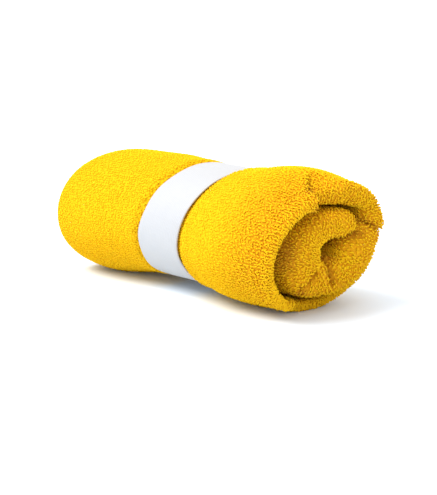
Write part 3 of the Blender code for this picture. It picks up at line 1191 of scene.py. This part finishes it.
    def loop_uv(self) -> Array:
        """A loop's tube unrolled in a unit square: a pair for each corner of each face,
        with the two caps as slivers at its ends."""
        ring, side = np.meshgrid(
            np.arange(self.loop_rings - 1), np.arange(self.loop_sides), indexing="ij"
        )
        corner_ring = np.stack([ring, ring, ring + 1, ring + 1], axis=-1)
        corner_side = np.stack([side, side + 1, side + 1, side], axis=-1)
        shares = [corner_ring / (self.loop_rings - 1), corner_side / self.loop_sides]
        tube_uv = np.stack(shares, axis=-1).reshape(-1, 4, 2)
        caps = np.array([[0, 0], [0, 1], [0.05, 1], [0.05, 0]])
        return np.concatenate([tube_uv, caps[None], 1 - caps[None]])

    @staticmethod
    def in_cells(local: Array, count: int) -> Array:
        """Lay copies of one loop's UVs out in square cells, each inset by a margin."""
        margin = 0.05
        local = local * (1 - 2 * margin) + margin
        cells = math.ceil(math.sqrt(count))
        number = np.arange(count)
        cell = np.stack([number % cells, number // cells], axis=-1)
        return ((cell[:, None, None] + local[None]) / cells).reshape(-1, 2)


@dataclass
class ThreadSize:
    """Sizes of the overlock stitching along the cloth's four sides."""

    pitch: float = 1.5 * MM
    bite: float = 2.8 * MM
    radius: float = 0.34 * MM
    level: float = 0.25 * MM
    samples: int = 10


class Fixed(Enum):
    """The coordinate of the sheet that stays the same along a side of the cloth."""

    U = auto()
    T = auto()


@dataclass
class Hems:
    """The overlock thread along the four sides of the cloth."""

    sheet: FoldedSheet
    size: ThreadSize = field(default_factory=ThreadSize)
    thread: SewingThread = SewingThread("hem_thread", (0.86, 0.50, 0.010))

    def build(self) -> list[bpy.types.Object]:
        """Build the thread of the two long and the two short sides."""
        thread = self.thread.material()
        end, half = self.sheet.end, self.sheet.width / 2
        long = (self.size.bite, end - self.size.bite)
        sides = {
            "hem_thread_long_a": (Fixed.T, half, *long, "hem_long_side_a"),
            "hem_thread_long_b": (Fixed.T, -half, *long, "hem_long_side_b"),
            "hem_thread_outer": (Fixed.U, 0.0, -half, half, "hem_outer_short_side"),
            "hem_thread_inner": (Fixed.U, end, -half, half, "hem_inner_short_side"),
        }
        return [self.build_side(name, *facts, thread) for name, facts in sides.items()]

    def build_side(
        self,
        name: str,
        fixed: Fixed,
        edge: float,
        start: float,
        stop: float,
        node: str,
        material: bpy.types.Material,
    ) -> bpy.types.Object:
        """Build the thread along one side.

        The looper thread is a flat helix about the edge: with the angle a growing by a
        turn for each stitch, it lies bite / 2 * (1 + cos a) in from the edge and at the
        level sin a of the cloth's thickness. The needle thread lies along the inner
        ends of the stitches.

        Args:
            name: The piece's name.
            fixed: Whether the side is at one t or at one u.
            edge: That t or u.
            start: Where the thread starts along the side.
            stop: Where it stops.
            node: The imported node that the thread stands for.
            material: The thread.

        Returns:
            The piece.
        """
        size = self.size
        stitches = round((stop - start) / size.pitch)
        angle = np.linspace(0, stitches * 2 * math.pi, stitches * size.samples)
        place = np.linspace(start, stop, len(angle))
        way = -1 if edge > 0 else 1
        inside = edge + way * size.bite / 2 * (1 + np.cos(angle))
        level = np.sin(angle)
        needle_at = edge + way * size.bite * np.ones_like(place)
        threads = []
        for inner, w in ((inside, level), (needle_at, np.ones_like(place))):
            u, t = (place, inner) if fixed is Fixed.T else (inner, place)
            path = self.on_hem(u, t, w)
            away = path - self.on_hem(u, t, w * 0)
            # Where the thread crosses the edge, the sheet's normal stands in for away.
            up = away + self.sheet.normal(u, t, 0 * w)[0] * 1e-5
            threads.append(tube(path, up, size.radius))
        (looper, looper_quads), (needle, needle_quads) = threads
        points = np.vstack([looper, needle])
        quads = np.vstack([looper_quads, needle_quads + len(looper)])
        piece = mesh_object(name, points, quads, material)
        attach(piece, "roll")
        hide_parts(node)
        return piece

    def on_hem(self, u: Array, t: Array, w: Array) -> Array:
        """A point on the flattened cloth of a hem, w from one face to the other."""
        sheet = self.sheet
        top = sheet.level(u, t, self.size.level)
        return sheet.surface(u, t, -1 + (w + 1) / 2 * (top + 1))


@dataclass
class ElasticBand:
    """The woven elastic tape, lapped and sewn into a ring."""

    size: BandSize
    pack: RolledPack
    weave: WovenElastic = WovenElastic()
    thread: SewingThread = SewingThread("band_thread", (0.66, 0.67, 0.70), 0.5)
    ribs: int = 24
    rib_height: float = 0.07 * MM
    rib_power: float = 0.6
    edge_power: float = 24.0
    edge_share: float = 0.35
    edge_inset: float = 0.1 * MM
    lap_gap: float = 0.2 * MM
    lap_ramp: float = 5.0
    ripple: tuple[float, float] = (0.12 * MM, 9.0)
    sway: tuple[float, float] = (0.15 * MM, 7.0)
    columns: int = 121
    rows: int = 400
    stitch_pitch: float = 2.6 * MM
    stitch_leg: float = 2.4 * MM
    stitch_margin: float = 8.0
    stitch_samples: int = 8
    thread_radius: float = 0.30 * MM

    def build(self) -> list[bpy.types.Object]:
        """Build the tape and its two rows of stitching."""
        thread = self.thread.material()
        inset = self.size.lap_span / 2 - self.stitch_margin
        rows = (("a", -inset), ("b", inset))
        return [self.build_tape(), *(self.build_stitches(*row, thread) for row in rows)]

    def point(self, angle: Array, lift: Array, across: Array) -> Array:
        """A point of the ring: angle in radians from +Y, height over its outside, and
        place across the tape. The ring is an oval that leans as the roll does."""
        size = self.size
        side = (size.half_width + lift) * np.cos(angle)
        rise = (size.half_height + lift) * np.sin(angle)
        share = size.centre_x / (self.pack.length / 2)
        lean = np.array(self.pack.lean)
        x = size.centre_x + across + np.interp(share, lean[:, 0], lean[:, 1]) * side
        x = x + np.interp(share, lean[:, 0], lean[:, 2]) * rise
        return np.stack([x, side, size.centre_z + rise], axis=-1) + self.pack.shift

    def outside(self, angle: Array) -> Array:
        """Height of the tape's outer face: a thickness more where it laps itself."""
        size = self.size
        start = math.radians(size.lap_angle - size.lap_span / 2)
        ramp = math.radians(self.lap_ramp)
        climb = ease((angle - start - 2 * math.pi + ramp) / ramp)
        return size.thickness * climb

    def build_tape(self) -> bpy.types.Object:
        """Build the tape, from its under end once round to its upper end.

        Both faces carry ribs along the tape, the height of each a share of the absolute
        sine across it, and the tape thins to its two woven edges. It is a little wavy.
        """
        size = self.size
        start = size.lap_angle - size.lap_span / 2
        angle = np.radians(np.linspace(start, start + 360 + size.lap_span, self.rows))
        edge = np.sin(np.linspace(-1, 1, self.columns) * math.pi / 2)
        share = 0.5 * edge + 0.5 * np.linspace(-1, 1, self.columns)
        angle, share = np.meshgrid(angle, share, indexing="ij")
        rib = np.abs(np.sin(share * self.ribs * math.pi / 2)) ** self.rib_power
        rounding = np.sqrt(np.clip(1 - np.abs(share) ** self.edge_power, 0, 1))
        height, waves = self.ripple
        wave = height * np.sin(angle * waves + 2 * share) * share**2
        across = share * (size.width / 2 - self.edge_inset)
        height, waves = self.sway
        across = across + height * np.sin(angle * waves + 1) * np.abs(share)
        half = (size.thickness - self.lap_gap) / 2
        middle = self.outside(angle) - size.thickness / 2 + wave
        least = self.edge_share
        reach = (half - self.rib_height * (1 - rib)) * (least + (1 - least) * rounding)
        front = self.point(angle, middle + reach, across)
        back = self.point(angle, middle - reach, across)
        points = np.concatenate([front.reshape(-1, 3), back.reshape(-1, 3)])
        quads = outward_quads(points, slab_quads(self.rows, self.columns))
        tape = mesh_object("elastic_tape", points, quads, self.weave.material())
        length = angle * (size.half_width + size.half_height) / 2
        flat = np.stack([length, across], axis=-1).reshape(-1, 2)
        set_uv(tape, "tape", np.concatenate([flat, flat])[quads])
        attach(tape, "band")
        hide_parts("elastic_band")
        return tape

    def build_stitches(
        self, row: str, offset: float, material: bpy.types.Material
    ) -> bpy.types.Object:
        """Build one row of zigzag stitches across the lap.

        A zigzag is a triangle wave along the ring; each stitch dips into the tape at
        its ends, by the absolute sine of its place.

        Args:
            row: The letter of the row.
            offset: Degrees from the middle of the lap.
            material: The thread.

        Returns:
            The piece.
        """
        size = self.size
        reach = size.width / 2 - self.stitch_pitch
        stitches = round(2 * reach / (self.stitch_pitch / 2))
        place = np.linspace(0, stitches, stitches * self.stitch_samples + 1)
        swing = 2 / math.pi * np.arcsin(np.sin((place - 0.5) * math.pi))
        middle = math.radians(size.lap_angle + 360 + offset)
        angle = middle + self.stitch_leg / 2 / size.half_width * swing
        across = -reach + place * self.stitch_pitch / 2
        bridge = np.abs(np.sin(place * math.pi)) ** 0.5
        lift = self.outside(angle) + self.thread_radius * (1.9 * bridge - 0.9)
        path = self.point(angle, lift, across)
        up = path - self.point(angle, lift - 1 * MM, across)
        points, quads = tube(path, up, self.thread_radius, 6)
        quads = outward_quads(points, quads)
        piece = mesh_object(f"band_stitches_{row}", points, quads, material)
        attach(piece, "band")
        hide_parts(f"band_stitch_row_{row}")
        return piece


# ---------------------------------------------------------------- the stage


@dataclass
class Studio:
    """A pale floor, soft light from above and to the left, and the camera."""

    azimuth: float = 45.378
    elevation: float = 12.524
    distance: float = 0.9
    target_height: float = 30 * MM
    lens: float = 140.3
    sensor: float = 36.0
    shift_x: float = 0.0074
    shift_y: float = -0.0458
    world: float = 1.22
    key_strength: float = 3.0
    key_angle: float = 36.0
    key_from: tuple[float, float, float] = (-0.45, -0.75, 1.15)
    floor: PaleFloor = PaleFloor()
    floor_reach: float = 6.0

    def build(self, shift: Array) -> None:
        """Build the floor, the lights and the camera.

        Args:
            shift: How far the roll's middle is from the origin.
        """
        self.build_floor()
        self.build_lights()
        self.build_camera(Vector(shift.tolist()))

    def build_floor(self) -> None:
        """Build the floor as one large square."""
        side = np.array([-self.floor_reach, self.floor_reach])
        x, y = np.meshgrid(side, side, indexing="ij")
        points = np.stack([x, y, 0 * x], axis=-1)
        floor = mesh_object("floor", points, grid_quads(2, 2), self.floor.material())

    def build_lights(self) -> None:
        """Build an even white surround and one soft, even key light."""
        scene = bpy.context.scene
        world = bpy.data.worlds.new("studio")
        scene.world = world
        world.use_nodes = True
        background = world.node_tree.nodes["Background"]
        background.inputs["Color"].default_value = (1.0, 1.0, 1.0, 1.0)
        background.inputs["Strength"].default_value = self.world
        scene.view_settings.view_transform = "Standard"
        lamp = bpy.data.lights.new("key", "SUN")
        lamp.energy = self.key_strength
        lamp.angle = math.radians(self.key_angle)
        key = bpy.data.objects.new("key", lamp)
        key.location = self.key_from
        key.rotation_euler = self.facing(-Vector(self.key_from))
        scene.collection.objects.link(key)

    def build_camera(self, shift: Vector) -> None:
        """Build the camera, which looks at the middle of the roll."""
        turn, tilt = math.radians(self.azimuth), math.radians(self.elevation)
        flat = math.cos(tilt)
        away = Vector((math.sin(turn) * flat, -math.cos(turn) * flat, math.sin(tilt)))
        data = bpy.data.cameras.new("camera")
        data.lens = self.lens
        data.sensor_width = self.sensor
        data.shift_x, data.shift_y = self.shift_x, self.shift_y
        data.clip_start, data.clip_end = 0.01, 50
        camera = bpy.data.objects.new("camera", data)
        target = Vector((0, 0, self.target_height)) + shift
        camera.location = target + away * self.distance
        camera.rotation_euler = self.facing(-away)
        bpy.context.scene.collection.objects.link(camera)
        bpy.context.scene.camera = camera

    @staticmethod
    def facing(way: Vector) -> Euler:
        """The turn that points an object's -Z along a direction."""
        return way.to_track_quat("-Z", "Y").to_euler()


def centre_shift(band: BandSize) -> Array:
    """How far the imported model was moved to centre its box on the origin.

    The ring's box is even about its middle along X, and its -Y side lies its half width
    from its middle, clear of the lap.
    """
    low, high = (np.array(corner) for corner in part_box("elastic_band"))
    return np.array(
        [(low[0] + high[0]) / 2 - band.centre_x, low[1] + band.half_width, 0.0]
    )


def main() -> None:
    """Build the towel, its hems, the band and the stage, and say what was made."""
    logging.basicConfig(level=logging.INFO, format="%(name)s: %(message)s")
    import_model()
    band = BandSize()
    shift = centre_shift(band)
    pack = RolledPack(band, shift=shift)
    sheet = FoldedSheet(pack)
    LOG.info("the sheet is %.0f mm long", sheet.end / MM)
    Studio().build(shift)

    cloth, *pile = Towel(sheet).build()
    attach(cloth, "roll")
    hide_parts("towel")
    hems = Hems(sheet).build()
    tape, *stitches = ElasticBand(band, pack).build()
    for piece in [cloth, *pile, *hems, tape, *stitches]:
        LOG.info("%s: %d faces", piece.name, len(piece.data.polygons))


if __name__ == "__main__":
    main()
